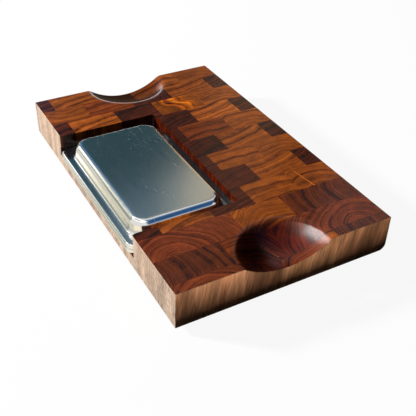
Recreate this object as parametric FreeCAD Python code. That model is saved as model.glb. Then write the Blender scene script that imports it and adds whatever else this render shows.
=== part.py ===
"""End-grain walnut cutting board with two nested steel trays in a side bay.

Millimetres, +Z up. X runs across the board, with the bay open to -X. Y runs along the board, from the
near end to the far end. The origin is the centre of the whole outline, tray rims included, on the plane
that the feet stand on.
"""
import FreeCAD
import Part
import math
import os

# Board
board_length = 500.0
board_width = 310.0
board_thickness = 53.0
long_edge_easing = 1.0
end_edge_easing = 0.8
right_edge_round = 10.0

# End-grain rows: whole rows of one pitch, a short row at the near end, the rest at the far end
row_pitch = 44.5
near_row_depth = 15.0
# Seams between the blocks of a row, from the left edge, as shares of the board's width. The odd rows
# come from one panel and the even rows from the same panel turned round. Both drift along the board.
odd_far_seam_shares = (0.065, 0.310, 0.524, 0.773)
odd_near_seam_shares = (0.110, 0.350, 0.550, 0.784)
even_far_seam_shares = (0.203, 0.442, 0.656, 0.902)
even_near_seam_shares = (0.213, 0.452, 0.669, 0.913)
# The last rows are cut from a second panel: seams of the row next to the first panel, then its turn,
# then the row at the near end.
near_panel_seam_shares = (
    (0.411, 0.658, 0.840),
    (0.102, 0.284, 0.531),
    (0.481, 0.727, 0.910),
)

# Trays: two of the same pressing
tray_length = 265.0
tray_width = 162.0
pan_depth = 20.0
sheet = 0.8
rim_bead_diameter = 6.5
rim_curl_deg = 285.0
flange_width = 13.0
flange_corner_radius = 18.0
pan_corner_radius = 26.0
wall_draft_deg = 10.0
shoulder_radius = 10.0
flange_fillet = 3.5
nest_clearance = 0.3
# How far from level an edge of a pan may lie and still be rounded, as a share of the sheet
level_tolerance_share = 0.01

# Bay in the board's left side, and the groove in its walls that the rims slide in
bay_floor_height = 18.0
tray_overhang = 3.4
end_wall_cover = 2.5
back_wall_cover = 5.6
groove_end_clearance = 2.5
groove_back_clearance = 0.3
rim_floor_clearance = 0.3
rim_headroom = 0.8
bay_corner_radius = 4.0
bay_lip_radius = 6.0
groove_corner_radius = 12.0

# Scoop at each end of the board: a dish with a soft shoulder
scoop_radius = 69.0
scoop_depth = 21.5
scoop_shoulder_radius = 17.0
scoop_inset = 6.0

# Feet
foot_diameter = 30.0
foot_height = 8.0
foot_taper_deg = 8.0
foot_edge_round = 1.5
foot_edge_distance = 34.0
foot_floor = 2.5
washer_diameter = 13.0
washer_thickness = 1.2
washer_clearance = 0.2
screw_shank_diameter = 4.0
screw_shank_length = 20.0
screw_point_length = 4.0
screw_head_diameter = 8.0
screw_head_height = 2.4
screw_clearance = 0.1

# One overrun for all cuts
overrun = 20.0

# Places worked out from the sizes above
board_bottom = foot_height
board_top = board_bottom + board_thickness
board_centre_x = tray_overhang / 2
board_left = board_centre_x - board_width / 2
board_right = board_centre_x + board_width / 2
board_near = -board_length / 2
board_far = board_length / 2
bay_floor = board_bottom + bay_floor_height
tray_left = board_left - tray_overhang
tray_right = tray_left + tray_width
tray_centre_x = (tray_left + tray_right) / 2
level_tolerance = sheet * level_tolerance_share
rim_pitch = rim_bead_diameter + nest_clearance
lower_rim_bottom = bay_floor + rim_floor_clearance
upper_rim_bottom = lower_rim_bottom + rim_pitch
groove_top = upper_rim_bottom + rim_bead_diameter + rim_headroom
bay_back = tray_right - back_wall_cover
groove_back = tray_right + groove_back_clearance
bay_half_length = tray_length / 2 - end_wall_cover
groove_half_length = tray_length / 2 + groove_end_clearance
washer_top = foot_height - foot_floor
washer_bottom = washer_top - washer_thickness

UP = FreeCAD.Vector(0, 0, 1)


def point(x, y, z=0.0):
    return FreeCAD.Vector(x, y, z)


def block(x_low, x_high, y_low, y_high, z_low, z_high):
    """A box between two corners."""
    corner = point(x_low, y_low, z_low)
    return Part.makeBox(x_high - x_low, y_high - y_low, z_high - z_low, corner)


def rounded_outline(x_low, x_high, y_low, y_high, z, radius):
    """A closed wire: a rectangle at height z with four corner arcs."""
    slant = radius * (1 - math.sqrt(0.5))
    straight_ends = (
        (point(x_low + radius, y_low, z), point(x_high - radius, y_low, z)),
        (point(x_high, y_low + radius, z), point(x_high, y_high - radius, z)),
        (point(x_high - radius, y_high, z), point(x_low + radius, y_high, z)),
        (point(x_low, y_high - radius, z), point(x_low, y_low + radius, z)),
    )
    arc_middles = (
        point(x_high - slant, y_low + slant, z),
        point(x_high - slant, y_high - slant, z),
        point(x_low + slant, y_high - slant, z),
        point(x_low + slant, y_low + slant, z),
    )
    edges = []
    for side in range(4):
        start, end = straight_ends[side]
        next_start = straight_ends[(side + 1) % 4][0]
        edges.append(Part.LineSegment(start, end).toShape())
        edges.append(Part.Arc(end, arc_middles[side], next_start).toShape())
    return Part.Wire(edges)


def prism(outline, height):
    return Part.Face(outline).extrude(UP * height)


def revolved(outline_edges, x, y):
    """A solid turned from a closed outline in the XZ plane about the vertical line through x, y."""
    face = Part.Face(Part.Wire(outline_edges))
    solid = face.revolve(point(0, 0), UP, 360)
    solid.translate(point(x, y))
    return solid


def edges_at_height(shape, z, inside):
    """Edges that lie wholly at height z, with their middles within the half sizes given by inside."""
    x_limit, y_limit = inside
    found = []
    for edge in shape.Edges:
        box = edge.BoundBox
        level = abs(box.ZMin - z) < level_tolerance and abs(box.ZMax - z) < level_tolerance
        near_middle = abs(box.Center.x - tray_centre_x) < x_limit and abs(box.Center.y) < y_limit
        if level and near_middle:
            found.append(edge)
    return found


# Trays
def pan_form(rim_bottom, inset, mouth_radius):
    """The drawn pan upside down on its flange: draft walls, rounded shoulder, and a flared mouth.

    inset is zero for the outside of the sheet and one sheet for the inside.
    """
    flange_top = rim_bottom + rim_bead_diameter - inset
    pan_top = flange_top + pan_depth
    slope = math.tan(math.radians(wall_draft_deg))
    across = inset / math.cos(math.radians(wall_draft_deg)) - inset * slope
    base_x = tray_width / 2 - flange_width - across
    base_y = tray_length / 2 - flange_width - across
    base_radius = pan_corner_radius - across
    rise = pan_depth * slope
    base = rounded_outline(tray_centre_x - base_x, tray_centre_x + base_x, -base_y, base_y,
                           flange_top, base_radius)
    top = rounded_outline(tray_centre_x - base_x + rise, tray_centre_x + base_x - rise,
                          -base_y + rise, base_y - rise, pan_top, base_radius - rise)
    pan = Part.makeLoft([base, top], True, True)
    pan = pan.makeFillet(shoulder_radius - inset, edges_at_height(pan, pan_top, (base_x, base_y)))
    plate_depth, plate_margin = (sheet, 0.0) if inset == 0 else (rim_bead_diameter, overrun)
    plate_x = tray_width / 2 - rim_bead_diameter / 2 + plate_margin
    plate_y = tray_length / 2 - rim_bead_diameter / 2 + plate_margin
    plate_radius = flange_corner_radius - rim_bead_diameter / 2
    plate = prism(rounded_outline(tray_centre_x - plate_x, tray_centre_x + plate_x, -plate_y, plate_y,
                                  flange_top - plate_depth, plate_radius), plate_depth)
    form = plate.fuse(pan).removeSplitter()
    mouth = edges_at_height(form, flange_top, (base_x + sheet, base_y + sheet))
    return form.makeFillet(mouth_radius, mouth)


def rim_bead(rim_bottom):
    """The rolled rim: an open curl of sheet carried round the edge of the flange."""
    outer = rim_bead_diameter / 2
    inner = outer - sheet
    centre = point(tray_left + outer, 0, rim_bottom + outer)

    def on_curl(radius, turn_deg):
        angle = math.radians(90 + turn_deg)
        return centre + point(radius * math.cos(angle), 0, radius * math.sin(angle))

    outer_arc = Part.Arc(on_curl(outer, 0), on_curl(outer, rim_curl_deg / 2), on_curl(outer, rim_curl_deg))
    inner_arc = Part.Arc(on_curl(inner, rim_curl_deg), on_curl(inner, rim_curl_deg / 2), on_curl(inner, 0))
    end_line = Part.LineSegment(on_curl(outer, rim_curl_deg), on_curl(inner, rim_curl_deg))
    start_line = Part.LineSegment(on_curl(inner, 0), on_curl(outer, 0))
    profile = Part.Wire([outer_arc.toShape(), end_line.toShape(), inner_arc.toShape(), start_line.toShape()])
    half_width = tray_width / 2 - outer
    half_length = tray_length / 2 - outer
    path = rounded_outline(tray_centre_x - half_width, tray_centre_x + half_width, -half_length, half_length,
                           rim_bottom + outer, flange_corner_radius - outer)
    bead = None
    for edge in path.Edges:
        start = edge.valueAt(edge.FirstParameter)
        along = edge.tangentAt(edge.FirstParameter)
        section = profile.copy()
        section.translate(start - centre)
        turn = math.degrees(math.atan2(along.y, along.x)) + 90
        section.rotate(start, UP, turn)
        face = Part.Face(section)
        if edge.Curve.TypeId == "Part::GeomCircle":
            piece = face.revolve(edge.Curve.Center, UP, 90)
        else:
            piece = face.extrude(along * edge.Length)
        bead = piece if bead is None else bead.fuse(piece)
    return bead.removeSplitter()


def tray(rim_bottom):
    outside = pan_form(rim_bottom, 0.0, flange_fillet)
    inside = pan_form(rim_bottom, sheet, flange_fillet + sheet)
    return outside.cut(inside).fuse(rim_bead(rim_bottom)).removeSplitter()


# Board, before it is divided into blocks
def scoop(end_y, inward):
    """A dish turned about an upright axis just inside the end face.

    Its section is a hollow arc that meets a round shoulder, which runs out level with the top.
    """
    both_radii = (scoop_radius ** 2 + scoop_depth ** 2) / (2 * scoop_depth)
    dish_radius = both_radii - scoop_shoulder_radius
    swing = math.asin(scoop_radius / both_radii)
    bottom = point(0, 0, board_top - scoop_depth)
    dish_centre = bottom + UP * dish_radius
    shoulder_centre = point(scoop_radius, 0, board_top - scoop_shoulder_radius)

    def on_dish(angle):
        return dish_centre + point(math.sin(angle), 0, -math.cos(angle)) * dish_radius

    def on_shoulder(angle):
        return shoulder_centre + point(-math.sin(angle), 0, math.cos(angle)) * scoop_shoulder_radius

    rim = on_shoulder(0)
    dish = Part.Arc(bottom, on_dish(swing / 2), on_dish(swing))
    shoulder = Part.Arc(on_shoulder(swing), on_shoulder(swing / 2), rim)
    above_rim = rim + UP * overrun
    above_axis = point(0, 0, above_rim.z)
    section = [
        dish.toShape(),
        shoulder.toShape(),
        Part.LineSegment(rim, above_rim).toShape(),
        Part.LineSegment(above_rim, above_axis).toShape(),
        Part.LineSegment(above_axis, bottom).toShape(),
    ]
    return revolved(section, board_centre_x, end_y + inward * scoop_inset)


def bay():
    """The space for the pans, open at the top and on the left, with the groove for the rims below."""
    out = board_left - overrun
    upper = prism(rounded_outline(out, bay_back, -bay_half_length, bay_half_length, bay_floor,
                                  bay_corner_radius), board_top + overrun - bay_floor)
    groove = prism(rounded_outline(out, groove_back, -groove_half_length, groove_half_length, bay_floor,
                                   groove_corner_radius), groove_top - bay_floor)
    return upper.fuse(groove)


def bay_lip(side):
    """What rounding takes off the upright edge where the bay's end wall meets the left face."""
    wall = side * bay_half_length
    centre_y = wall + side * bay_lip_radius
    low, high = sorted((wall, centre_y))
    corner = block(board_left, board_left + bay_lip_radius, low, high, groove_top, board_top + overrun)
    round_off = Part.makeCylinder(bay_lip_radius, board_top + overrun - groove_top,
                                  point(board_left + bay_lip_radius, centre_y, groove_top))
    return corner.cut(round_off)


def board_section():
    """The board's outline from its near end: eased edges, and a large round along the lower right."""
    radii = (long_edge_easing, right_edge_round, long_edge_easing, long_edge_easing)
    corners = (
        (board_left, board_bottom, 1, 1),
        (board_right, board_bottom, -1, 1),
        (board_right, board_top, -1, -1),
        (board_left, board_top, 1, -1),
    )
    arcs = []
    for index, (x, z, x_in, z_in) in enumerate(corners):
        radius = radii[index]
        slant = radius * (1 - math.sqrt(0.5))
        on_side = point(x, board_near, z + z_in * radius)
        on_level = point(x + x_in * radius, board_near, z)
        middle = point(x + x_in * slant, board_near, z + z_in * slant)
        ends = (on_side, on_level) if index % 2 == 0 else (on_level, on_side)
        arcs.append((ends[0], middle, ends[1]))
    edges = []
    for arc, next_arc in zip(arcs, arcs[1:] + arcs[:1]):
        edges.append(Part.Arc(*arc).toShape())
        edges.append(Part.LineSegment(arc[2], next_arc[0]).toShape())
    return Part.Wire(edges)


def whole_board():
    board = Part.Face(board_section()).extrude(point(0, board_length))
    end_edges = [edge for edge in board.Edges if edge.BoundBox.YLength < end_edge_easing]
    board = board.makeFillet(end_edge_easing, end_edges)
    board = board.cut(scoop(board_near, 1)).cut(scoop(board_far, -1))
    board = board.cut(bay()).cut(bay_lip(1)).cut(bay_lip(-1))
    for x, y in foot_places().values():
        board = board.cut(pilot_hole(x, y))
    return board


# Rows and blocks
def row_edges():
    """Y of the row boundaries, from the far end to the near end.

    The far row takes what is left over, and is never thinner than the near row.
    """
    inner = []
    y = board_near + near_row_depth
    while y < board_far - near_row_depth:
        inner.append(y)
        y += row_pitch
    return [board_far] + inner[::-1] + [board_near]


def drifted(far_shares, near_shares, progress):
    return [far + (near - far) * progress for far, near in zip(far_shares, near_shares)]


def seam_shares(row, rows):
    """Shares of the width where the seams of a row lie. Rows count from zero at the far end."""
    first_panel_rows = rows - len(near_panel_seam_shares)
    if row >= first_panel_rows:
        return near_panel_seam_shares[row - first_panel_rows]
    progress = row / (first_panel_rows - 1)
    if row % 2 == 0:
        return drifted(odd_far_seam_shares, odd_near_seam_shares, progress)
    return drifted(even_far_seam_shares, even_near_seam_shares, progress)


def row_blocks(board, row, edges):
    """The blocks of one row, each cut from the board between two seams."""
    seams = [board_left + share * board_width for share in seam_shares(row, len(edges) - 1)]
    sides = [board_left - overrun] + seams + [board_right + overrun]
    y_high, y_low = edges[row], edges[row + 1]
    solids = []
    for x_low, x_high in zip(sides, sides[1:]):
        cell = block(x_low, x_high, y_low, y_high, board_bottom - overrun, board_top + overrun)
        solids.extend(board.common(cell).Solids)
    return Part.makeCompound(solids)


# Feet
def foot_places():
    side = board_width / 2 - foot_edge_distance
    end = board_length / 2 - foot_edge_distance
    return {
        "near_left": (board_centre_x - side, -end),
        "near_right": (board_centre_x + side, -end),
        "far_left": (board_centre_x - side, end),
        "far_right": (board_centre_x + side, end),
    }


def pilot_hole(x, y):
    radius = screw_shank_diameter / 2 + screw_clearance
    return Part.makeCylinder(radius, washer_top + screw_shank_length - board_bottom + screw_clearance,
                             point(x, y, board_bottom))


def foot(x, y):
    """A tapered rubber foot with a recess for the washer and the screw's head."""
    top_radius = foot_diameter / 2
    bottom_radius = top_radius - foot_height * math.tan(math.radians(foot_taper_deg))
    body = Part.makeCone(bottom_radius, top_radius, foot_height, point(x, y))
    lower_edges = [edge for edge in body.Edges if edge.BoundBox.ZMax < foot_edge_round]
    body = body.makeFillet(foot_edge_round, lower_edges)
    recess = Part.makeCylinder(washer_diameter / 2 + washer_clearance, washer_top, point(x, y))
    hole = Part.makeCylinder(screw_shank_diameter / 2 + screw_clearance, foot_height, point(x, y))
    return body.cut(recess).cut(hole)


def washer(x, y):
    ring = Part.makeCylinder(washer_diameter / 2, washer_thickness, point(x, y, washer_bottom))
    hole = Part.makeCylinder(screw_shank_diameter / 2 + screw_clearance, washer_thickness,
                             point(x, y, washer_bottom))
    return ring.cut(hole)


def screw(x, y):
    """A pan-head wood screw, point up, with its head against the washer."""
    head_radius = screw_head_diameter / 2
    shank_radius = screw_shank_diameter / 2
    head_low = washer_bottom - screw_head_height
    shoulder = washer_top + screw_shank_length - screw_point_length
    crown = Part.Arc(point(0, 0, head_low),
                     point(head_radius * math.sin(math.pi / 4), 0,
                           washer_bottom - screw_head_height * math.cos(math.pi / 4)),
                     point(head_radius, 0, washer_bottom))
    corners = [
        point(head_radius, 0, washer_bottom),
        point(shank_radius, 0, washer_bottom),
        point(shank_radius, 0, shoulder),
        point(0, 0, shoulder + screw_point_length),
        point(0, 0, head_low),
    ]
    edges = [crown.toShape()]
    for start, end in zip(corners, corners[1:]):
        edges.append(Part.LineSegment(start, end).toShape())
    return revolved(edges, x, y)


def save(shape, name):
    shape.exportStep("parts/" + name + ".step")
    volume = round(shape.Volume)
    print(name, "solids", len(shape.Solids), "volume", volume, "valid", shape.isValid())


os.makedirs("parts", exist_ok=True)

master = whole_board()
edges = row_edges()
for row in range(len(edges) - 1):
    save(row_blocks(master, row, edges), "walnut_row_%02d" % (row + 1))

save(tray(lower_rim_bottom), "lower_tray")
save(tray(upper_rim_bottom), "upper_tray")

places = foot_places()
for place, (x, y) in places.items():
    save(foot(x, y), "foot_" + place)
save(Part.makeCompound([washer(x, y) for x, y in places.values()]), "foot_washers")
save(Part.makeCompound([screw(x, y) for x, y in places.values()]), "foot_screws")
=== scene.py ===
# %% [markdown]
# # A walnut cutting board with trays in its side
#
# The board is end-grain walnut, glued up from rows of blocks, and two steel trays slide out of its left
# side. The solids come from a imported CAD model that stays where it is. This script gives them their
# finishes, and makes the trays anew, because pressed sheet needs smoother faces than the solids have.

# %% Load the frame
import math
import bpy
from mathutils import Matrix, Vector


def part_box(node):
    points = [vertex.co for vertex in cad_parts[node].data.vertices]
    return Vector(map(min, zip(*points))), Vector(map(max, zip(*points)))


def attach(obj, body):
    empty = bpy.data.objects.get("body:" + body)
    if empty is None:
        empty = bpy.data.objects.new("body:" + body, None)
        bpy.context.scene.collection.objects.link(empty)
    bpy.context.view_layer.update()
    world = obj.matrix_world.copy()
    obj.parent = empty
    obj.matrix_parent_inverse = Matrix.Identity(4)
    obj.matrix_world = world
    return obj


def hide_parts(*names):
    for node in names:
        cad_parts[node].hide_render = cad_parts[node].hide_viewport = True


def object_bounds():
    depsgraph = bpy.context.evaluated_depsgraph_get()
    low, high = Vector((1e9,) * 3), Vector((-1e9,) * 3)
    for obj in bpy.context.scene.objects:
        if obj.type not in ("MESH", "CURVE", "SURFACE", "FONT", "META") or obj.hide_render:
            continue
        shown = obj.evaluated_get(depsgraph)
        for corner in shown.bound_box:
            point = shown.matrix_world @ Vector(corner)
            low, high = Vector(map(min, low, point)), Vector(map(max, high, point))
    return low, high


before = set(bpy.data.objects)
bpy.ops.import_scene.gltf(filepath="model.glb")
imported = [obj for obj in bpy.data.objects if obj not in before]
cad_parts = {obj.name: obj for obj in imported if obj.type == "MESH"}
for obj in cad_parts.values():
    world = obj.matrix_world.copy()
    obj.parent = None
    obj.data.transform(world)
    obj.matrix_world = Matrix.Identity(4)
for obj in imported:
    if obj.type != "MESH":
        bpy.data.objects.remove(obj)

from types import SimpleNamespace

import bpy
import numpy as np
from mathutils import Matrix, Vector

cad_low, cad_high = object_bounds()
print("CAD box", [round(side, 4) for side in cad_high - cad_low], "nodes", len(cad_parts))

# %% [markdown]
# ## Units, colours and nodes
#
# Blender counts in metres and the workshop in millimetres, so sizes are written in millimetres and
# multiplied by `mm`. Colours are written as sRGB hex values, as a picture editor shows them, and turned
# to the linear values that a shader needs. One small function adds every node of every material.

# %% Helpers
mm = 0.001
scene = bpy.context.scene


def linear(hex_colour):
    """sRGB hex to linear RGBA: value / 12.92 near black, else ((value + 0.055) / 1.055) ** 2.4."""
    values = [int(hex_colour[start:start + 2], 16) / 255 for start in (1, 3, 5)]
    curve = [v / 12.92 if v <= 0.04045 else ((v + 0.055) / 1.055) ** 2.4 for v in values]
    return (*curve, 1.0)


def add(tree, kind, inputs=(), out=0, **settings):
    """Add a node of that kind. Inputs are values or other nodes' outputs, in the order of the sockets, or
    by a socket's name or number in a dict. Returns one output."""
    node = tree.nodes.new("ShaderNode" + kind)
    for name, value in settings.items():
        setattr(node, name, value)
    pairs = inputs.items() if isinstance(inputs, dict) else enumerate(inputs)
    for socket, value in pairs:
        if isinstance(value, bpy.types.NodeSocket):
            tree.links.new(value, node.inputs[socket])
        else:
            node.inputs[socket].default_value = value
    return node.outputs[out] if node.outputs else node


def new_material(name):
    """An empty material and its node tree."""
    material = bpy.data.materials.new(name)
    material.use_nodes = True
    material.node_tree.nodes.clear()
    return material, material.node_tree


def stops(ramp_output, colours, interpolation="LINEAR"):
    """Give a ramp its stops: pairs of a place from 0 to 1 and a colour."""
    ramp = ramp_output.node.color_ramp
    ramp.interpolation = interpolation
    while len(ramp.elements) < len(colours):
        ramp.elements.new(1.0)
    for element, (place, colour) in zip(ramp.elements, colours):
        element.position = place
        element.color = colour
    return ramp_output


print("dark walnut as linear values", [round(value, 4) for value in linear("#4A3028")[:3]])

# %% [markdown]
# ## Camera
#
# The view was worked out from the corners of the board in the picture. It stands to the left of the near
# end and looks down at about 37 degrees. A long lens keeps the board's sides almost parallel.

# %% Camera
camera_place = Vector((-401.2, -754.4, 600.2)) * mm
camera_looks = Vector((0.3968, 0.6970, -0.5974)).normalized()
camera_roll = math.radians(1.44)
lens_mm = 60.48

camera_data = bpy.data.cameras.new("camera")
camera_data.lens = lens_mm
camera = bpy.data.objects.new("camera", camera_data)
scene.collection.objects.link(camera)
level_right = camera_looks.cross(Vector((0, 0, 1))).normalized()
level_up = level_right.cross(camera_looks)
camera_right = level_right * math.cos(camera_roll) + level_up * math.sin(camera_roll)
camera_up = camera_right.cross(camera_looks)
camera_turn = Matrix((camera_right, camera_up, -camera_looks)).transposed()
camera.matrix_world = Matrix.Translation(camera_place) @ camera_turn.to_4x4()
scene.camera = camera
print("camera looks down", round(math.degrees(math.asin(-camera_looks.z)), 1), "degrees")

# %% [markdown]
# ## Floor and surround
#
# The board stands on a pale floor in a white room. The camera and the steel should see white there, but
# as much light from all round would wash out the shadows. So the shaders ask how a ray came: they show
# white to rays from the camera, from a shiny surface or through glass, and a weak fill to the rest.

# %% Floor and surround
scene.view_settings.view_transform = "Standard"
white = (1, 1, 1, 1)
fill_strength = 0.05
floor_bounce = 0.08
floor_half_size = 4.0
no_bounce_yet = 0.5  # Diffuse Depth counts whole bounces, so less than a half is none.


def seen_directly(tree):
    """One for rays from the camera, from a shiny surface or through glass, and zero for rays that have lit
    a dull surface on their way."""
    ray = add(tree, "LightPath").node.outputs
    shiny = add(tree, "Math", (ray["Is Camera Ray"], ray["Is Glossy Ray"]), operation="MAXIMUM")
    clear = add(tree, "Math", (shiny, ray["Is Transmission Ray"]), operation="MAXIMUM")
    undulled = add(tree, "Math", (ray["Diffuse Depth"], no_bounce_yet), operation="LESS_THAN")
    return add(tree, "Math", (clear, undulled), operation="MULTIPLY")


world = bpy.data.worlds.new("studio")
world.use_nodes = True
world.node_tree.nodes.clear()
scene.world = world
surround = add(world.node_tree, "Background", {"Color": white, "Strength": fill_strength})
backdrop = add(world.node_tree, "Background", {"Color": white, "Strength": 1.0})
both = add(world.node_tree, "MixShader", (seen_directly(world.node_tree), surround, backdrop))
add(world.node_tree, "OutputWorld", {"Surface": both})

floor_material, tree = new_material("pale floor")
paint = add(tree, "BsdfDiffuse", {"Color": (floor_bounce, floor_bounce, floor_bounce, 1)})
glow_strength = add(tree, "Math", (seen_directly(tree), 1 - floor_bounce), operation="MULTIPLY")
glow = add(tree, "Emission", {"Color": white, "Strength": glow_strength})
add(tree, "OutputMaterial", {"Surface": add(tree, "AddShader", (paint, glow))})


def flat_card(name, corner, across, upward, material):
    """One flat four-sided face, from a corner and its two sides, in metres."""
    corner, across, upward = (Vector(values) for values in (corner, across, upward))
    corners = [corner, corner + across, corner + across + upward, corner + upward]
    mesh = bpy.data.meshes.new(name)
    mesh.from_pydata(corners, [], [(0, 1, 2, 3)])
    mesh.materials.append(material)
    card = bpy.data.objects.new(name, mesh)
    scene.collection.objects.link(card)
    return card


floor = flat_card("floor", (-floor_half_size, -floor_half_size, 0), (2 * floor_half_size, 0, 0),
                  (0, 2 * floor_half_size, 0), floor_material)
print(floor.name, 2 * floor_half_size, "m wide, fill", fill_strength)

# %% [markdown]
# ## Lamps
#
# A small bright lamp stands far off to the left and behind, so the left side is bright and the near end
# lies in shade. A low, wide lamp in front lifts the near end, and a weak one stands behind. They are
# hidden from reflections, because steel would show them as hard squares.

# %% Lamps
def soft_lamp(name, place, target, width, height, power):
    """A flat lamp at place, facing target, in metres and watts."""
    data = bpy.data.lights.new(name, "AREA")
    data.shape = "RECTANGLE"
    data.size = width
    data.size_y = height
    data.energy = power
    lamp = bpy.data.objects.new(name, data)
    scene.collection.objects.link(lamp)
    place = Vector(place)
    turn = (Vector(target) - place).to_track_quat("-Z", "Y")
    lamp.matrix_world = Matrix.Translation(place) @ turn.to_matrix().to_4x4()
    return lamp


def hide_from(piece, *ray_kinds):
    """Keep a lamp, a card or a flag out of sight of some kinds of ray."""
    for ray_kind in ray_kinds:
        setattr(piece, "visible_" + ray_kind, False)


board_middle = (cad_low + cad_high) / 2
front_place = (0.05, -1.6, 0.037)
front_target = (0.05, 0, 0.037)
lamps = (
    soft_lamp("key", (-2.75, 1.98, 1.64), board_middle, width=0.4, height=0.4, power=252),
    soft_lamp("front", front_place, front_target, width=0.8, height=0.034, power=31),
    soft_lamp("back", (0.4, 2.3, 0.45), board_middle, width=0.6, height=0.6, power=10),
)
for lamp in lamps:
    hide_from(lamp, "glossy")
print("lamps", [lamp.name for lamp in lamps])

# %% [markdown]
# ## Cards for the steel and the oil
#
# Steel shows only what stands round it, and oiled wood has a sheen. So glowing cards stand where the two
# mirror them, as a photographer's cards do. Reflections alone see them: they are hidden from the camera
# and give no light to dull surfaces, so they change what shines and not the level of the light.

# %% Cards
far_y = 1.2
near_y = 1.19
strip_y = 1.18
mouth_y = 0.2515
floor_z = 0.003


def glowing(name, colours, strength=1.0, sampling="NONE"):
    """A glowing material that a ray sees only before it has lit a dull surface. Colours are one hex value,
    or pairs of a height in metres and a hex value, which blend between their heights."""
    if isinstance(colours, str):
        colours = ((0.0, colours), (1.0, colours))
    material, tree = new_material(name)
    material.cycles.emission_sampling = sampling
    low, high = colours[0][0], colours[-1][0]
    height = add(tree, "SeparateXYZ", (add(tree, "TexCoord", out=3),), out=2)
    share = add(tree, "MapRange", (height, low, high))
    shares = [((place - low) / (high - low), linear(colour)) for place, colour in colours]
    colour = stops(add(tree, "ValToRGB", (share,)), shares)
    ray = add(tree, "LightPath").node.outputs
    undulled = add(tree, "Math", (ray["Diffuse Depth"], no_bounce_yet), operation="LESS_THAN")
    shown = add(tree, "Math", (undulled, strength), operation="MULTIPLY")
    add(tree, "OutputMaterial", {"Surface": add(tree, "Emission", {"Color": colour, "Strength": shown})})
    return material


teal = ((0.75, "#2C4B53"), (0.95, "#24434F"), (1.15, "#627D90"), (1.4, "#667E8F"))
sky_blue = ((1.2, "#F0F0EA"), (1.34, "#86A6C8"), (1.48, "#2A568C"), (1.76, "#2A568C"), (1.9, "#7C9CC0"),
            (2.0, "#F0F4F8"))

# Each card: its corner and two sides in metres, its colour or its colours by height, and its strength.
card_plans = {
    # The level pans mirror these, dark teal at the far end and paler towards the near right corner.
    "far_card": ((0.1, far_y, 0.08), (0.58, 0, 0), (0, 0, 1.62), teal, 1.0),
    "dim_card": ((0.68, far_y, 0.08), (0.92, 0, 0), (0, 0, 1.67), "#1C2A2E", 1.0),
    "half_card": ((0.5, near_y, 0.97), (0.1, 0, 0), (0, 0, 0.45), "#8A979C", 1.0),
    "light_card": ((0.6, near_y, 0.95), (0.4, 0, -0.1), (0, 0, 0.45), "#C4C0B2", 1.0),
    # The left shoulders mirror these, from sky to grey, with a bright slanted strip and a spot.
    "blue_card": ((-0.02, near_y, 0.3), (0.14, 0, 0), (0, 0, 1.4), "#5C8CBE", 1.0),
    "haze_card": ((-0.36, near_y, 0.3), (0.34, 0, 0), (0, 0, 1.2), "#7090AC", 1.0),
    "grey_card": ((-1.1, near_y, 0.25), (0.74, 0, 0), (0, 0, 1.2), "#C0C9C2", 1.0),
    "olive_card": ((-1.8, near_y, 0.02), (0.7, 0, 0), (0, 0, 1.2), "#A0AAA0", 1.0),
    "cream_card": ((-1.12, strip_y, 0.93), (0.52, 0, -0.515), (0.075, 0, 0.075), "#FFF6E0", 2.4),
    "shine_card": ((-0.68, strip_y, 0.52), (0.26, 0, 0), (0, 0, 0.26), "#FFF4F4", 4.0),
    # The left walls mirror pale lanes on the floor, and the near shoulders a slanted blue card overhead.
    "lane_card": ((-0.9, -0.1, floor_z), (0.735, 0, 0), (0, 1.1, 0), "#EDE8D6", 1.0),
    "sun_card": ((-0.9, -0.4, floor_z), (0.735, 0, 0), (0, 0.3, 0), "#FFF4DA", 1.3),
    "top_card": ((-0.35, -2.6, 1.2), (1.85, 0, 0), (0, 3.3, 0.8), sky_blue, 1.0),
    # The oiled wood mirrors these, as lines of light round the far scoop and a sheen at the right.
    "rim_card": ((-0.4, strip_y, 0.0), (1.6, 0, 0), (0, 0, 0.2), "#FFFFFF", 3.0),
    "mouth_card": ((-0.068, mouth_y, 0.03), (0.139, 0, 0), (0, 0, 0.0295), "#6A6050", 1.0),
    "edge_card": ((0.95, near_y, 0.1), (0.4, 0, 0), (0, 0, 0.7), "#E8DFC4", 1.0),
    "sheen_card": ((0.68, strip_y, 0.55), (0.4, 0, 0), (0, 0, 0.3), "#FFE2BC", 0.7),
    "corner_card": ((1.27, strip_y, 1.15), (0.23, -0.38, 0), (0, 0, 0.59), "#F0E4EC", 1.1),
    # The last keep the right and the near side dark.
    "right_card": ((1.51, -0.9, 0.02), (0, 2.1, 0), (0, 0, 1.75), "#1A1614", 1.0),
    "low_card": ((-0.15, -1.6, floor_z), (1.6, 0, 0), (0, 1.355, 0), "#1A1614", 1.0),
}
cards = []
for card_name, (corner, across, upward, colours, strength) in card_plans.items():
    cards.append(flat_card(card_name, corner, across, upward, glowing(card_name, colours, strength)))
print("cards", len(cards))

# %% [markdown]
# ## Soft boxes for the wood
#
# The near scoop has a soft highlight, from a soft box over the board. One bright card would have a hard
# edge there, so it is three, brighter towards the middle. Light linking lets the brightest shine on the
# wood alone, because the steel would mirror it as a glare. A low strip behind the board, for the wood
# alone too, widens the line of light on the far scoop's rim.

# %% Soft boxes
wood_alone = bpy.data.collections.new("wood under the soft box")
for node_name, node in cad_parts.items():
    if node_name.startswith("walnut"):
        wood_alone.objects.link(node)

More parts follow.
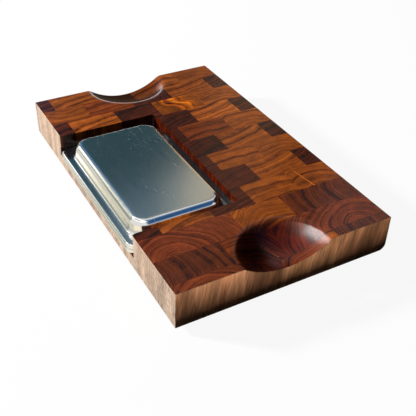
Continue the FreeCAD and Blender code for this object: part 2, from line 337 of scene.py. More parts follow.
box_middle = Vector((-0.56, 0.4, 1.3))
box_across = Vector((0.42, 0, 0))
box_along = Vector((-0.27, 1.2, 0))
box_layers = ((1.5, 1.5), (1.15, 5.0), (0.85, 36.0))  # Size of each layer, and its strength.
layer_step = Vector((0, 0, -0.003))
glare_strength = 6.0
for layer, (size, strength) in enumerate(box_layers):
    corner = box_middle + layer_step * layer - (box_across + box_along) * size / 2
    soft_box = flat_card("soft_box", corner, box_across * size, box_along * size,
                         glowing("soft box", "#FFFFFF", strength, "AUTO"))
    if strength > glare_strength:
        soft_box.light_linking.receiver_collection = wood_alone
    cards.append(soft_box)

scoop_card = flat_card("scoop_card", (-0.4, strip_y, 0.2), (1.6, 0, 0), (0, 0, 0.14),
                       glowing("scoop strip", "#FFFFFF", 2.0, "AUTO"))
scoop_card.light_linking.receiver_collection = wood_alone
cards.append(scoop_card)
for card in cards:
    hide_from(card, "camera", "diffuse", "shadow", "transmission", "volume_scatter")

# %% [markdown]
# ## Flags
#
# The near end darkens towards its foot, and the near scoop lies in shade. Two black flags keep the front
# lamp off them: a long low one in front, and one over the mouth of the scoop whose edge follows the mouth.
# Neither the camera nor a reflection sees them, only their shadow.

# %% Flags
flag_height = 0.0364
flag_material, tree = new_material("black flag")
add(tree, "OutputMaterial", {"Surface": add(tree, "BsdfDiffuse", {"Color": (0.01, 0.01, 0.01, 1)})})
flag = flat_card("flag", (-0.8, -1.0, 0.001), (1.7, 0, 0), (0, 0, flag_height), flag_material)
mouth_points = 25


def mouth_flag(name, middle_x, at_y, half_width, low, high):
    """A flat flag over the mouth of a scoop, with its lower edge on an arc through the mouth's two ends and
    its lowest point. Arc radius is (half_width ** 2 + depth ** 2) / (2 depth)."""
    depth = high - low
    radius = (half_width ** 2 + depth ** 2) / (2 * depth)
    across = np.linspace(-half_width, half_width, mouth_points)
    rise = radius - np.sqrt(radius ** 2 - across ** 2)
    edge = np.stack((middle_x + across, np.full(mouth_points, at_y), low + rise), axis=1)
    mesh = bpy.data.meshes.new(name)
    mesh.from_pydata(edge.tolist(), [], [tuple(range(mouth_points))])
    mesh.materials.append(flag_material)
    piece = bpy.data.objects.new(name, mesh)
    scene.collection.objects.link(piece)
    return piece


scoop_flag = mouth_flag("scoop_flag", middle_x=0.0017, at_y=-0.253, half_width=0.066, low=0.0395, high=0.062)
for piece in (flag, scoop_flag):
    hide_from(piece, "camera", "glossy", "transmission")
print("flags", [piece.name for piece in (flag, scoop_flag)])

# %% [markdown]
# ## How the board was glued up
#
# Strips of walnut are glued side by side into a panel. The panel is cut across into slices, each slice is
# stood on end so that its end grain faces up, and every other slice is turned end for end before all are
# glued again. So a strip comes back in every row, on alternate sides, and the shader only has to know the
# strips. The near rows come from a second panel with wide, flat-sawn strips, whose rings are strong arcs.
#
# A strip is one piece of a tree: it has a heart, the middle of its rings, and a ring gap. The heart may
# lie far outside the strip, and then the rings look like nearly straight lines.

# %% Panels
board_left, board_right = (corner[0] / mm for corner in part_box("walnut_row_06"))
board_width = board_right - board_left
board_middle_x = (board_left + board_right) / 2
row_count = 12
first_panel_rows = 9

# Seams of the two panels, from the left edge, as shares of the board's width.
odd_far_shares = np.array((0.065, 0.310, 0.524, 0.773))
odd_near_shares = np.array((0.110, 0.350, 0.550, 0.784))
even_far_shares = np.array((0.203, 0.442, 0.656, 0.902))
even_near_shares = np.array((0.213, 0.452, 0.669, 0.913))
near_panel_shares = ((0.411, 0.658, 0.840), (0.102, 0.284, 0.531), (0.481, 0.727, 0.910))

# Each strip: wood, tilt of its rings in degrees, distance of its heart and ring gap, both in millimetres.
# The tilt is from the row's own line, and the heart lies on the near side.
first_panel = (("heartwood", 20, 120, 2.4), ("tan", 12, 130, 2.8), ("heartwood", 14, 150, 2.4),
               ("tan", 5, 110, 2.8), ("tan", -4, 90, 3.0))
near_panel = (("ruddy", -42, 50, 3.0), ("tan", 15, 70, 2.8), ("ruddy_dark", 84, 110, 2.8),
              ("ruddy_dark", 88, 90, 2.6))

# Blocks that differ from the rest of their strip, by row and place in the row.
odd_blocks = {
    (2, 1): ("russet", 12, 130, 2.8),
    (5, 3): ("russet", 5, 110, 2.8),
    (11, 2): ("russet", 15, 70, 2.8),
}


def row_seams(row):
    """Seam places of a row, as shares. Rows count from 1 at the far end; odd and even ones drift apart."""
    if row > first_panel_rows:
        return np.array(near_panel_shares[row - first_panel_rows - 1])
    progress = (row - 1) / (first_panel_rows - 1)
    far, near = (odd_far_shares, odd_near_shares) if row % 2 else (even_far_shares, even_near_shares)
    return far + (near - far) * progress


print("seams of the middle row in mm", np.round(row_seams(6) * board_width, 1))

# %% [markdown]
# ## One row's blocks
#
# A shader has to know which block it is in. A colour ramp with constant steps is a ready-made table for
# that: its stops stand at the seams, and a stop's colour can hold any four numbers from 0 to 1. One ramp
# holds each strip's heart, ring gap and a seed for chance, and three more hold its colours.

# %% Row plans
heart_range_mm = 200.0
gap_range_mm = 10.0
row_seed_step = 0.37

# Early wood, late wood and the long-grain colour of each wood.
woods = {
    "tan": ("#BA5F1B", "#4A1A03", "#A27A58"),
    "russet": ("#9A4616", "#3E1404", "#A27A58"),
    "heartwood": ("#602610", "#0C0300", "#8E6446"),
    "ruddy": ("#9E4820", "#3C1406", "#9A7050"),
    "ruddy_dark": ("#7A3818", "#34120A", "#8C6244"),
}
# How bright the tan blocks of some rows are beside the others.
tan_tones = {1: 0.85, 2: 0.85, 4: 1.25, 5: 1.12, 7: 0.92, 8: 0.95, 9: 0.92}


def row_plan(row):
    """How a row was turned, where its seams are, and what its ramps hold for each block: heart and ring gap
    as shares of their ranges, with a seed, and the early, late and side colours."""
    low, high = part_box("walnut_row_%02d" % row)
    near_rows = row > first_panel_rows
    strips = near_panel if near_rows else first_panel
    is_turned = row % 2 == (1 if near_rows else 0)
    across = -1.0 if is_turned else 1.0
    along = 1.0 if near_rows else across
    middle_mm = (low.y + high.y) / 2 / mm
    edges = [0.0, *row_seams(row), 1.0]
    plan = SimpleNamespace(row=row, near_rows=near_rows, across=across, along=along, middle_mm=middle_mm,
                           edges=edges, layout=[], early=[], late=[], side=[])
    for number, strip in enumerate(strips[::-1] if is_turned else strips):
        wood, tilt, distance, gap = odd_blocks.get((row, number), strip)
        middle = (edges[number] + edges[number + 1]) / 2 * board_width + board_left - board_middle_x
        angle = math.radians(tilt)
        heart = (middle * across + distance * math.sin(angle), -distance * math.cos(angle))
        heart_shares = [value / heart_range_mm / 2 + 0.5 for value in heart]
        seed = (number + row * row_seed_step) % 1.0
        plan.layout.append((edges[number], (*heart_shares, gap / gap_range_mm, seed)))
        tone = tan_tones.get(row, 1.0) if wood == "tan" else 1.0
        for ramp, colour in zip((plan.early, plan.late, plan.side), woods[wood]):
            ramp.append((edges[number], (*(part * tone for part in linear(colour)[:3]), 1)))
    return plan


print("blocks", sum(len(row_plan(row).layout) for row in range(1, row_count + 1)))

# %% [markdown]
# ## Rings
#
# A picture of wood would stretch at the edges, so the walnut is a solid pattern: the rings are cylinders
# round each strip's heart, and one formula draws arcs on top and upright stripes on the sides. Noise
# first sways the place in long bends and ripples it in short ones, because no tree grows quite round.

# %% Rings
seed_range = 10.0
grain_lean = -0.14
along_grain = 0.12
sway_mm = 48.0
sway_gaps = 9.0
ripple_mm = 12.0
ripple_size_mm = 3.0
top_mm = cad_high.z / mm


def spot_in_row(tree, plan):
    """Where a point lies in its row: its place in millimetres, its share of the board's width, and its
    strip's heart, seed and ring gap. The place is also turned as the slice was, with the grain's lean, and
    shortened along the grain so that noise is drawn out there."""
    spot = SimpleNamespace()
    place = add(tree, "TexCoord", out=3)
    spot.place_mm = add(tree, "VectorMath", {0: place, "Scale": 1 / mm}, operation="SCALE")
    spot.xyz = add(tree, "SeparateXYZ", (spot.place_mm,)).node.outputs
    spot.share = add(tree, "MapRange", (spot.xyz[0], board_left, board_right))
    spot.strip = stops(add(tree, "ValToRGB", (spot.share,)), plan.layout, "CONSTANT")
    spot.seed = add(tree, "Math", (spot.strip.node.outputs["Alpha"], seed_range), operation="MULTIPLY")
    gap_share = add(tree, "SeparateColor", (spot.strip,), out=2)
    spot.gap = add(tree, "Math", (gap_share, gap_range_mm), operation="MULTIPLY")
    lean = add(tree, "Math", (spot.xyz[2], grain_lean, -grain_lean * top_mm), operation="MULTIPLY_ADD")
    leaning = add(tree, "VectorMath", (spot.place_mm, add(tree, "CombineXYZ", (lean,))), operation="ADD")
    turn = (plan.across, plan.along, 1)
    shift = (-board_middle_x * plan.across, -plan.middle_mm * plan.along, 0)
    spot.turned = add(tree, "VectorMath", (leaning, turn, shift), operation="MULTIPLY_ADD")
    spot.drawn_out = add(tree, "VectorMath", (spot.turned, (1, 1, along_grain)), operation="MULTIPLY")
    return spot


def count_rings(tree, spot):
    """Ring number: the distance from the strip's heart, after noise has moved the place, over the gap."""
    noise_place = {"Vector": spot.drawn_out, "W": spot.seed}
    sway = add(tree, "TexNoise", {**noise_place, "Scale": 1 / sway_mm, "Detail": 1.0}, out=1,
               noise_dimensions="4D")
    ripple = add(tree, "TexNoise", {**noise_place, "Scale": 1 / ripple_mm, "Detail": 2.0}, out=1,
                 noise_dimensions="4D")
    off_sway = add(tree, "VectorMath", (sway, (0.5, 0.5, 0)), operation="SUBTRACT")
    sway_size = add(tree, "Math", (spot.gap, sway_gaps), operation="MULTIPLY")
    bend = add(tree, "VectorMath", {0: off_sway, "Scale": sway_size}, operation="SCALE")
    swayed = add(tree, "VectorMath", (bend, spot.drawn_out), operation="ADD")
    ripple_size = (ripple_size_mm, ripple_size_mm, 0)
    spot.moved = add(tree, "VectorMath", (ripple, ripple_size, swayed), operation="MULTIPLY_ADD")
    heart_size = (heart_range_mm * 2, heart_range_mm * 2, 0)
    heart_start = (ripple_size_mm / 2 - heart_range_mm, ripple_size_mm / 2 - heart_range_mm, 0)
    heart = add(tree, "VectorMath", (spot.strip, heart_size, heart_start), operation="MULTIPLY_ADD")
    from_heart = add(tree, "VectorMath", (spot.moved, heart), operation="SUBTRACT")
    flat = add(tree, "VectorMath", (from_heart, (1, 1, 0)), operation="MULTIPLY")
    radius = add(tree, "VectorMath", (flat,), out=1, operation="LENGTH")
    return add(tree, "Math", (radius, spot.gap), operation="DIVIDE")


print("bends of", sway_mm, "mm and ripples of", ripple_mm, "mm")

# %% [markdown]
# ## Late wood
#
# A ring is pale where spring began it and darkens to a thin line of late wood. Real rings differ from year
# to year, so each line has its own strength, and broad bands of good and bad years lie under them. Lines
# at the true ring gap of two or three millimetres hardly show from here, so they are joined by coarse
# lines, one for every two or three rings.

# %% Late wood
coarse_ring = 2.3
fine_ring = 0.9
line_strength = 0.8
drift_scale = 0.2
drift_rings = 6.0
band_scale = 0.3
patch_mm = 11.0
late_strength = 0.9
# How dark a line is through its ring, from the ring's start at 0 to its end at 1.
line_stops = ((0.0, 0.35), (0.1, 0.0), (0.4, 0.12), (0.72, 0.45), (0.88, 1.0), (1.0, 0.35))
# Levels here and below: the low and high end of a value, and what they become.
band_levels = (0.3, 0.72, -0.1, 0.8)
patch_levels = (0.3, 0.7, 0.35, 1.25)


def dark_lines(tree, spot, step):
    """Dark lines, one for every step of that many ring gaps. The fraction of the count says how far a point
    is through its step, and the whole part seeds the line's own strength."""
    drifted = add(tree, "Math", (spot.drift, drift_rings, spot.rings), operation="MULTIPLY_ADD")
    ring = add(tree, "Math", (drifted, step), operation="DIVIDE")
    ring_part = add(tree, "Math", (ring,), operation="FRACT")
    ring_number = add(tree, "Math", (ring,), operation="FLOOR")
    ring_seed = add(tree, "Math", (ring_number, spot.seed), operation="ADD")
    ring_strength = add(tree, "TexWhiteNoise", {"W": ring_seed}, noise_dimensions="1D")
    line = stops(add(tree, "ValToRGB", (ring_part,)),
                 [(place, (level, level, level, 1)) for place, level in line_stops])
    return add(tree, "Math", (line, ring_strength), operation="MULTIPLY")


def late_wood(tree, spot):
    """Share of late wood: coarse and fine lines, stronger in some patches than in others, over bands."""
    spot.drift = add(tree, "TexNoise", {"W": spot.rings, "Scale": drift_scale, "Detail": 1.0},
                     noise_dimensions="1D")
    coarse_lines = dark_lines(tree, spot, coarse_ring)
    fine_lines = dark_lines(tree, spot, fine_ring)
    softened = add(tree, "Math", (coarse_lines, line_strength), operation="MULTIPLY")
    lines = add(tree, "Math", (fine_lines, line_strength, softened), operation="MULTIPLY_ADD")
    band_place = add(tree, "Math", (spot.rings, spot.seed), operation="ADD")
    bands = add(tree, "TexNoise", {"W": band_place, "Scale": band_scale, "Detail": 5.0, "Roughness": 0.68},
                noise_dimensions="1D")
    band_level = add(tree, "MapRange", (bands, *band_levels))
    spot.patch = add(tree, "TexNoise", {"Vector": spot.drawn_out, "W": spot.seed, "Scale": 1 / patch_mm,
                                        "Detail": 3.0}, noise_dimensions="4D")
    patch_level = add(tree, "MapRange", (spot.patch, *patch_levels))
    marks = add(tree, "Math", (lines, patch_level, band_level), operation="MULTIPLY_ADD")
    return add(tree, "Math", (marks, late_strength), operation="MULTIPLY", use_clamp=True)


print("line at its darkest", max(line_stops, key=lambda stop: stop[1])[0], "through its ring")

# %% [markdown]
# ## A curl and a knot
#
# One block grew beside a branch, so its grain curls past a small dark knot and shines. The curl is a set
# of bright and dark bands that step sideways along an S-curve, the hyperbolic tangent. The step dies away
# on both sides, and a little noise keeps the bands from looking ruled.

# %% Curl
curl_row = 3
curl_block = 3
curl_middle_mm = (46.6, 145.5)
curl_half_step_mm = 9.0
curl_bend_mm = 5.0
curl_half_mm = 40.0
curl_reach_mm = 22.0
curl_waver_mm = 9.0
curl_line_levels = (0.0, 1.0, 1.1, 0.5)
curl_colours = (
    (0.0, "#8A4612"), (0.22, "#90480A"), (0.33, "#703404"), (0.38, "#A85206"), (0.42, "#E06E0A"),
    (0.46, "#B85604"), (0.5, "#8C3E04"), (0.55, "#A85004"), (0.59, "#D46A08"), (0.65, "#F08212"),
    (0.69, "#C46008"), (0.72, "#7C3804"), (0.755, "#C05E08"), (0.82, "#A0500C"), (0.9, "#8A4612"),
)
knot_middle_mm = 147.0
knot_half_mm = 12.0
knot_half_width_mm = 6.0
knot_levels = (0.2, 1.0, 1.0, 0.0)
knot_colour = "#3C1200"


def curled(tree, plan, spot, end_grain):
    """End grain with the curl in its block. A band's sideways step is the half step times -tanh of the way
    past the bend, over 1 plus the square of the way from the middle, in reaches."""
    middle_x, middle_y = curl_middle_mm
    past_bend = add(tree, "Math", (spot.xyz[1], 1 / curl_bend_mm, -middle_y / curl_bend_mm),
                    operation="MULTIPLY_ADD")
    s_curve = add(tree, "Math", (past_bend,), operation="TANH")
    wave = add(tree, "Math", (s_curve, -curl_half_step_mm), operation="MULTIPLY")
    moved_x = add(tree, "SeparateXYZ", (spot.moved,))
    off_middle = add(tree, "Math", (moved_x, board_middle_x - middle_x), operation="ADD")
    reaches = add(tree, "Math", (off_middle, curl_reach_mm), operation="DIVIDE")
    fade = add(tree, "Math", (reaches, reaches, 1.0), operation="MULTIPLY_ADD")
    wave_here = add(tree, "Math", (wave, fade), operation="DIVIDE")
    smooth_off = add(tree, "Math", (off_middle, wave_here), operation="SUBTRACT")
    waver = add(tree, "Math", (spot.patch, curl_waver_mm, -curl_waver_mm / 2), operation="MULTIPLY_ADD")
    off_wave = add(tree, "Math", (smooth_off, waver), operation="ADD")
    band_share = add(tree, "MapRange", (off_wave, -curl_half_mm, curl_half_mm))
    bands = stops(add(tree, "ValToRGB", (band_share,)),
                  [(place, linear(colour)) for place, colour in curl_colours])

    knot_y = add(tree, "Math", (spot.xyz[1], knot_middle_mm), operation="SUBTRACT")
    knot_place = add(tree, "CombineXYZ", (off_wave, knot_y))
    from_knot = add(tree, "VectorMath", (knot_place, (1 / knot_half_width_mm, 1 / knot_half_mm, 0)),
                    operation="MULTIPLY")
    knot_distance = add(tree, "VectorMath", (from_knot,), out=1, operation="LENGTH")
    knot_share = add(tree, "MapRange", (knot_distance, *knot_levels))
    curl = add(tree, "Mix", {0: knot_share, 6: bands, 7: linear(knot_colour)}, out=2, data_type="RGBA")

    block_left, block_right = plan.edges[curl_block:curl_block + 2]
    block_middle = (block_left + block_right) / 2
    in_block = add(tree, "Math", (spot.share, block_middle, block_right - block_middle), operation="COMPARE")
    line_level = add(tree, "MapRange", (spot.late_share, *curl_line_levels))
    lined_curl = add(tree, "VectorMath", {0: curl, "Scale": line_level}, operation="SCALE")
    return add(tree, "Mix", {0: in_block, 6: end_grain, 7: lined_curl}, out=2, data_type="RGBA")


print("curl in row", curl_row, "with", len(curl_colours), "bands")

# %% [markdown]
# ## Faces of the board
#
# Oil sinks into end grain and makes it deep and satin. The long sides and the ends show the wood
# lengthways, so they stay paler and dull, with upright streaks; the long sides are paler still as painted
# glare. The slopes of the scoops cut the grain at an angle, soak up more oil and look deeper, the far one
# darker still as painted shade, and the bay's back wall is red and striped, darkened as painted shade. A row
# has one material, so its shader tells the faces apart by their place: a point in the outermost skin is on a
# side.

# %% Faces
side_skin_mm = 0.6
half_length_mm = (cad_high.y - cad_low.y) / 2 / mm
bay_back_mm = -0.3
bay_half_mm = 131.0
scoop_start_mm = 170.0
scoop_edge_mm = 0.2
scoop_full_mm = 7.0


def find_faces(tree, spot):
    """Marks, one or zero, for the long sides, the ends and the bay's back wall, and the share of a scoop's
    slope, from 0 at its edge to 1 where it is deep enough."""
    x, y, z = spot.xyz
    x_off = add(tree, "Math", (x, board_middle_x), operation="SUBTRACT")
    x_out = add(tree, "Math", (x_off,), operation="ABSOLUTE")
    y_out = add(tree, "Math", (y,), operation="ABSOLUTE")
    faces = SimpleNamespace()
    faces.long_side = add(tree, "Math", (x_out, board_width / 2 - side_skin_mm), operation="GREATER_THAN")
    faces.end = add(tree, "Math", (y_out, half_length_mm - side_skin_mm), operation="GREATER_THAN")
    past_start = add(tree, "Math", (y_out, scoop_start_mm), operation="GREATER_THAN")
    depth = add(tree, "MapRange", (z, top_mm - scoop_edge_mm, top_mm - scoop_full_mm))
    faces.scoop = add(tree, "Math", (depth, past_start), operation="MULTIPLY")
    at_back = add(tree, "Math", (x, bay_back_mm, side_skin_mm), operation="COMPARE")
    below_top = add(tree, "Math", (z, top_mm - side_skin_mm), operation="LESS_THAN")
    in_bay = add(tree, "Math", (y_out, bay_half_mm), operation="LESS_THAN")
    back_wall = add(tree, "Math", (at_back, below_top), operation="MULTIPLY")
    faces.bay = add(tree, "Math", (back_wall, in_bay), operation="MULTIPLY")
    return faces


print("half of the board's length", half_length_mm, "mm")

# %% [markdown]
# Each kind of face mixes the end grain with a colour of its own, and streaks the mix with noise that is
# drawn out along the grain. The scoops use the end grain itself, tinted, the near one with more contrast
# and the far one darker, as painted shade.

# %% Face colours
# The long sides' colour: the paler long grain, made paler still as painted glare.
long_side_glare_colour = "#C3AB95"
long_side_share = 0.85
long_streak_levels = (0.32, 0.68, 0.89, 1.06)
end_share = 0.7
end_streak_levels = (0.32, 0.68, 0.5, 1.25)
broad_mm = 26.0
broad_levels = (0.35, 0.65, 0.6, 1.3)
# The bay wall's colour: its own red, made darker as painted shade.
bay_wall_shade_colour = "#4C1200"
bay_wall_share = 0.88
bay_stripe_mm = 7.0
bay_stripe_levels = (0.35, 0.65, 0.25, 1.5)
near_scoop_tint = (1.16, 1.31, 1.65)
near_scoop_contrast = 1.4
# The far scoop's tint: oil-deepened grain, made darker as painted shade.
far_scoop_shade_tint = (0.4, 0.34, 0.26)
far_scoop_contrast = 1.0
last_row_tone = 0.7


def face_colours(tree, plan, spot, faces, end_grain, side_colour):
    """The colour of a point by its face: scoop slopes over end grain, then ends, long sides and bay wall."""
    def streaked(share, colour, streaks):
        """End grain mixed with a face's own colour, times its streaks."""
        mixed = add(tree, "Mix", {0: share, 6: end_grain, 7: colour}, out=2, data_type="RGBA")
        return add(tree, "VectorMath", {0: mixed, "Scale": streaks}, operation="SCALE")

    # For the far scoop the tint also paints shade.
    tint = near_scoop_tint if plan.near_rows else far_scoop_shade_tint
    contrast = near_scoop_contrast if plan.near_rows else far_scoop_contrast
    if plan.row == row_count:
        tint = tuple(part * last_row_tone for part in tint)
    lively_grain = add(tree, "Gamma", (end_grain, contrast))
    scoop_grain_and_shade = add(tree, "VectorMath", (lively_grain, tint), operation="MULTIPLY")

    end_streaks = add(tree, "MapRange", (spot.patch, *end_streak_levels))
    broad = add(tree, "TexNoise", {"Vector": spot.drawn_out, "Scale": 1 / broad_mm, "Detail": 1.0})
    broad_streaks = add(tree, "MapRange", (broad, *broad_levels))
    both_streaks = add(tree, "Math", (end_streaks, broad_streaks), operation="MULTIPLY")
    long_streaks = add(tree, "MapRange", (spot.patch, *long_streak_levels))
    stripes = add(tree, "TexNoise", {"Vector": spot.drawn_out, "Scale": 1 / bay_stripe_mm, "Detail": 2.0})
    bay_stripes = add(tree, "MapRange", (stripes, *bay_stripe_levels))

    grain = end_grain
    for mark, face_colour in (
            (faces.scoop, scoop_grain_and_shade),
            (faces.end, streaked(end_share, side_colour, both_streaks)),
            (faces.long_side, streaked(long_side_share, linear(long_side_glare_colour), long_streaks)),
            (faces.bay, streaked(bay_wall_share, linear(bay_wall_shade_colour), bay_stripes))):
        grain = add(tree, "Mix", {0: mark, 6: grain, 7: face_colour}, out=2, data_type="RGBA")
    return grain


print("long sides", long_side_glare_colour, "bay wall", bay_wall_shade_colour)

# %% [markdown]
# ## Gum
#
# Walnut heals small wounds with gum, which shows as a thin bright streak. Two rows towards the near end
# have one. A streak is the set of points near a line, and noise along the line makes it swerve.

# %% Gum streaks
gum_half_width_mm = 0.7
gum_swerve_mm = 3.0
gum_swerve_length_mm = 7.0
# By row: the two ends in millimetres, and the colour.
gum_streaks = {
    9: ((104.7, -103.0), (110.7, -146.0), "#E87C1C"),
    11: ((-10.3, -212.0), (-0.3, -230.0), "#B4500C"),
}


def with_gum(tree, spot, grain, start, end, colour):
    """Grain with a gum streak. The way along the line is the dot product with its direction, and the way
    beside it the dot product with the direction turned by a right angle."""
    start, end = np.array(start), np.array(end)
    length = np.linalg.norm(end - start)
    run = (end - start) / length
    from_start = add(tree, "VectorMath", (spot.place_mm, (*start, 0)), operation="SUBTRACT")
    along = add(tree, "VectorMath", (from_start, (*run, 0)), out=1, operation="DOT_PRODUCT")
    beside = add(tree, "VectorMath", (from_start, (-run[1], run[0], 0)), out=1, operation="DOT_PRODUCT")
    waver = add(tree, "TexNoise", {"W": along, "Scale": 1 / gum_swerve_length_mm, "Detail": 2.0},
                noise_dimensions="1D")
    swerve = add(tree, "Math", (waver, gum_swerve_mm, -gum_swerve_mm / 2), operation="MULTIPLY_ADD")
    off_streak = add(tree, "Math", (beside, swerve), operation="SUBTRACT")
    thin = add(tree, "Math", (off_streak, 0.0, gum_half_width_mm), operation="COMPARE")
    within = add(tree, "Math", (along, length / 2, length / 2), operation="COMPARE")
    streak = add(tree, "Math", (thin, within), operation="MULTIPLY")
    return add(tree, "Mix", {0: streak, 6: grain, 7: linear(colour)}, out=2, data_type="RGBA")


print("gum in rows", list(gum_streaks))

# %% [markdown]
# ## Oiled walnut
#
# Now the wood is put together: rings and late wood, the curl, the faces and the gum. Mottle and pores
# darken it in places, and each block has a tone of its own. Oiled walnut is satin where the oil has filled
# the pores and duller in them, while the sanded sides are nearly matt. A walnut pore is a fifth of a
# millimetre wide. Here the pores are drawn about six times as wide, so that they show.

# %% Walnut finish
mottle_mm = 16.0
mottle_levels = (0.3, 0.7, 0.74, 1.3)
pore_mm = 1.3
pore_along_grain = 0.06
pore_levels = (0.30, 0.55, 0.45, 1.05)
block_tone_levels = (0.0, 1.0, 0.82, 1.12)
oil_levels = (0.3, 0.6, 0.25, 0.19)
side_roughness = 0.9
bay_roughness = 0.25
relief_strength = 0.08
relief_mm = 0.1
walnut_ior = 1.48
walnut_specular = 0.22


def oiled_walnut(row):
    """The finish of one row: a colour by ring, face and streak, times mottle, block tone and pores."""
    plan = row_plan(row)
    material, tree = new_material("oiled walnut row %02d" % row)
    spot = spot_in_row(tree, plan)
    spot.rings = count_rings(tree, spot)
    spot.late_share = late_wood(tree, spot)
    early, late, side = (stops(add(tree, "ValToRGB", (spot.share,)), colours, "CONSTANT")
                         for colours in (plan.early, plan.late, plan.side))
    end_grain = add(tree, "Mix", {0: spot.late_share, 6: early, 7: late}, out=2, data_type="RGBA")
    if row == curl_row:
        end_grain = curled(tree, plan, spot, end_grain)
    faces = find_faces(tree, spot)
    grain = face_colours(tree, plan, spot, faces, end_grain, side)
    if row in gum_streaks:
        grain = with_gum(tree, spot, grain, *gum_streaks[row])

    mottle = add(tree, "TexNoise", {"Vector": spot.drawn_out, "W": spot.seed, "Scale": 1 / mottle_mm,
                                    "Detail": 3.0}, noise_dimensions="4D")
    mottle_level = add(tree, "MapRange", (mottle, *mottle_levels))
    chance = add(tree, "TexWhiteNoise", {"W": spot.seed}, noise_dimensions="1D")
    block_tone = add(tree, "MapRange", (chance, *block_tone_levels))
    pore_place = add(tree, "VectorMath", (spot.turned, (1, 1, pore_along_grain)), operation="MULTIPLY")
    pores = add(tree, "TexNoise", {"Vector": pore_place, "Scale": 1 / pore_mm, "Detail": 2.0})
    pore_level = add(tree, "MapRange", (pores, *pore_levels))
    toned = add(tree, "Math", (mottle_level, block_tone), operation="MULTIPLY")
    level = add(tree, "Math", (toned, pore_level), operation="MULTIPLY")
    colour = add(tree, "VectorMath", {0: grain, "Scale": level}, operation="SCALE")

    oiled = add(tree, "MapRange", (pores, *oil_levels))
    sanded = add(tree, "Math", (faces.long_side, faces.end), operation="MAXIMUM")
    sides_dulled = add(tree, "Mix", {0: sanded, 2: oiled, 3: side_roughness})
    roughness = add(tree, "Mix", {0: faces.bay, 2: sides_dulled, 3: bay_roughness})
    height = add(tree, "Math", (pore_level, spot.late_share), operation="SUBTRACT")
    relief = add(tree, "Bump", {"Height": height, "Strength": relief_strength, "Distance": relief_mm * mm})
    shader = add(tree, "BsdfPrincipled", {"Base Color": colour, "Roughness": roughness, "Normal": relief,
                                          "IOR": walnut_ior, "Specular IOR Level": walnut_specular})
    add(tree, "OutputMaterial", {"Surface": shader})
    return material


def dress(node_name, material):
    """Put a material on a CAD node."""
    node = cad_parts[node_name]
    node.data.materials.clear()
    node.data.materials.append(material)


for row in range(1, row_count + 1):
    dress("walnut_row_%02d" % row, oiled_walnut(row))
print("walnut rows", row_count)

# %% [markdown]
# ## Drawn steel trays
#
# A tray is one sheet pressed into a pan. It stands upside down in the bay. Its section is the same all the
# way round, so the surface is a profile carried round a rounded rectangle: every point of the profile is a
# ring, with its own inset from the rim, height and corner. The profile goes over the outside, round the
# rolled rim and back along the inside, so the sheet has its real thickness.

# %% Tray section
sheet_mm = 0.8
bead_mm = 6.5
curl_deg = 285.0
flange_mm = 13.0
flange_corner_mm = 18.0
pan_corner_mm = 26.0
pan_depth_mm = 20.0
draft = math.radians(10.0)
shoulder_mm = 10.0
shoulder_steps = 12
fillet_mm = 3.5
fillet_steps = 8
bead_steps = 34
flat_step_mm = 0.4
wall_shares = np.array([[0.06], [0.94]])


def arc(centre, radius, start, end, steps):
    """Points on a circle in the section plane, as insets and heights, from angle start to angle end."""
    turn = np.linspace(start, end, steps)
    return np.stack((centre[0] + radius * np.cos(turn), centre[1] + radius * np.sin(turn)), axis=1)


def tray_section(rim_bottom):
    """The sheet's section: rows of inset from the rim, height, and distance of the corner's centre from
    the rim. The outside runs from the flat base to the rim's curl, and the inside runs back."""
    flange_top = rim_bottom + bead_mm
    pan_top = flange_top + pan_depth_mm
    wall_run = (pan_depth_mm - shoulder_mm) * math.tan(draft)
    shoulder = (flange_mm + wall_run + shoulder_mm / math.cos(draft), pan_top - shoulder_mm)
    fillet_inset = flange_mm + fillet_mm * math.tan(draft) - fillet_mm / math.cos(draft)
    fillet = (fillet_inset, flange_top + fillet_mm)
    bead = (bead_mm / 2, flange_top - bead_mm / 2)
    curl = math.radians(curl_deg)
    half_pi = math.pi / 2

    def pan_side(offset):
        """Shoulder, wall and mouth of the pan, offset inwards from the outer face of the sheet. Points just
        inside the ends of the wall and the flange keep their shading flat."""
        base = (shoulder[0] + shoulder_mm / 2, pan_top - offset)
        bend = arc(shoulder, shoulder_mm - offset, half_pi, math.pi - draft, shoulder_steps)
        mouth = arc(fillet, fillet_mm + offset, -draft, -half_pi, fillet_steps)
        wall = bend[-1] + (mouth[0] - bend[-1]) * wall_shares
        flange = mouth[-1] - (flat_step_mm, 0.0)
        return np.concatenate(([base], bend, wall, mouth, [flange]))

    outside = pan_side(0.0)
    rolled = np.concatenate((
        [(bead_mm / 2 + flat_step_mm, flange_top)],
        arc(bead, bead_mm / 2, half_pi, half_pi + curl, bead_steps),
        arc(bead, bead_mm / 2 - sheet_mm, half_pi + curl, half_pi, bead_steps),
        [(bead_mm / 2 + flat_step_mm, flange_top - sheet_mm)]))
    inside = pan_side(sheet_mm)[::-1]
    points = np.concatenate((outside, rolled, inside))
    centres = np.full(len(points), flange_mm + pan_corner_mm)
    centres[len(outside):len(outside) + len(rolled)] = flange_corner_mm
    return np.column_stack((points, centres))


print("points in the tray's section", len(tray_section(0.0)))

# %% [markdown]
# The rings are four quarter circles each, joined by straight runs. Neighbouring rings are joined by quads,
# and one flat face closes the pan's base outside and inside, so the mesh is one closed skin.

# %% Tray surface
corner_steps = 14


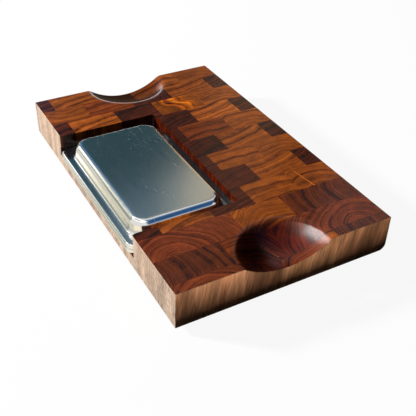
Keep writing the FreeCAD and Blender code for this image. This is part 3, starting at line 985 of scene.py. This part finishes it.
def tray_surface(low, high):
    """Carry the section round the rim. A ring is four quarter circles about its corner centres: corner
    radius is the centre's distance from the rim less the ring's inset."""
    section = tray_section(low.z / mm)
    inset, height, centre = (section[:, column, None] for column in range(3))
    middle = (low + high) / 2 / mm
    half = (high - low) / 2 / mm
    quarter = np.linspace(0, math.pi / 2, corner_steps)
    turn = np.concatenate([quarter + math.pi / 2 * corner for corner in range(4)])[None, :]
    sign_x = np.repeat((1, -1, -1, 1), corner_steps)[None, :]
    sign_y = np.repeat((1, 1, -1, -1), corner_steps)[None, :]
    x = middle.x + sign_x * (half.x - centre) + (centre - inset) * np.cos(turn)
    y = middle.y + sign_y * (half.y - centre) + (centre - inset) * np.sin(turn)
    z = np.broadcast_to(height, x.shape)
    return np.stack((x, y, z), axis=2) * mm


def ring_mesh(name, rings):
    """A closed mesh from rings of points: quads between neighbours, and a flat face in each end ring."""
    count, around = rings.shape[:2]
    index = np.arange(count * around).reshape(count, around)
    following = np.roll(index, -1, axis=1)
    quads = np.stack((index[:-1], index[1:], following[1:], following[:-1]), axis=2).reshape(-1, 4)
    faces = [*quads.tolist(), index[0].tolist(), index[-1][::-1].tolist()]
    mesh = bpy.data.meshes.new(name)
    mesh.from_pydata(rings.reshape(-1, 3).tolist(), [], faces)
    mesh.polygons.foreach_set("use_smooth", np.ones(len(faces), dtype=bool))
    mesh.update()
    piece = bpy.data.objects.new(name, mesh)
    scene.collection.objects.link(piece)
    return piece


print("points round a ring", 4 * corner_steps)

# %% [markdown]
# Stainless sheet comes from the press with a satin skin. It mirrors broad shapes softly, with fine drawing
# lines along its length and a few scratches from use. Both are far thinner on real steel, and drawn as
# coarse as they need to be to show. They only change the roughness, so they catch the light or vanish
# with the view, as real ones do.

# %% Satin stainless
steel_colour = "#DCDBD6"
drawn_line_mm = 1.5
drawn_stretch = 0.02
satin_levels = (0.3, 0.7, 0.15, 0.19)
scratch_turns = (1.15, 1.3, 1.45)
scratch_length_mm = 22.0
scratch_width_mm = 0.9
scratch_scale = (1 / scratch_length_mm, 1 / scratch_width_mm, 1 / scratch_length_mm)
scratch_levels = (0.815, 0.87, 0.0, 0.12)


def satin_stainless():
    """Metal with a roughness that is uneven along the drawing lines and higher in the scratches."""
    material, tree = new_material("satin stainless sheet")
    place = add(tree, "TexCoord", out=3)
    place_mm = add(tree, "VectorMath", {0: place, "Scale": 1 / mm}, operation="SCALE")
    drawn = add(tree, "VectorMath", (place_mm, (1, drawn_stretch, 1)), operation="MULTIPLY")
    lines = add(tree, "TexNoise", {"Vector": drawn, "Scale": 1 / drawn_line_mm, "Detail": 3.0})
    roughness = add(tree, "MapRange", (lines, *satin_levels))
    for turn in scratch_turns:
        turned = add(tree, "VectorRotate", {"Vector": place_mm, "Angle": turn}, rotation_type="Z_AXIS")
        drawn_out = add(tree, "VectorMath", (turned, scratch_scale), operation="MULTIPLY")
        spots = add(tree, "TexNoise", {"Vector": drawn_out, "Scale": 1.0, "Detail": 0.0})
        scratch = add(tree, "MapRange", (spots, *scratch_levels))
        roughness = add(tree, "Math", (roughness, scratch), operation="ADD")
    shader = add(tree, "BsdfPrincipled", {"Base Color": linear(steel_colour), "Metallic": 1.0,
                                          "Roughness": roughness})
    add(tree, "OutputMaterial", {"Surface": shader})
    return material


steel = satin_stainless()
for tray_name in ("lower_tray", "upper_tray"):
    tray = ring_mesh(tray_name + "_sheet", tray_surface(*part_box(tray_name)))
    tray.data.materials.append(steel)
    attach(tray, tray_name)
    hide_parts(tray_name)
    print(tray.name, "faces", len(tray.data.polygons))

# %% [markdown]
# ## Feet
#
# Four rubber feet keep the board off the worktop. Moulded rubber is nearly black and dull, with a fine
# grain that breaks up what little it reflects. The grain is drawn coarse enough to show. Each foot is held
# by a steel screw and washer, which share the trays' finish.

# %% Feet and fasteners
rubber_grain_mm = 0.8
rubber_relief_mm = 0.1
rubber_relief_strength = 0.3
rubber_roughness = 0.75
rubber_dark = "#161616"
rubber_pale = "#262524"


def moulded_rubber():
    """Dull black with a fine moulded grain."""
    material, tree = new_material("moulded rubber")
    place = add(tree, "TexCoord", out=3)
    grain = add(tree, "TexNoise", {"Vector": place, "Scale": 1 / (rubber_grain_mm * mm), "Detail": 2.0})
    colour = stops(add(tree, "ValToRGB", (grain,)), [(0.3, linear(rubber_dark)), (0.7, linear(rubber_pale))])
    relief = add(tree, "Bump", {"Height": grain, "Strength": rubber_relief_strength,
                                "Distance": rubber_relief_mm * mm})
    shader = add(tree, "BsdfPrincipled", {"Base Color": colour, "Roughness": rubber_roughness,
                                          "Normal": relief})
    add(tree, "OutputMaterial", {"Surface": shader})
    return material


rubber = moulded_rubber()
foot_places = ("near_left", "near_right", "far_left", "far_right")
for foot_place in foot_places:
    dress("foot_" + foot_place, rubber)
for fastener in ("foot_washers", "foot_screws"):
    dress(fastener, steel)
print("feet", len(foot_places))
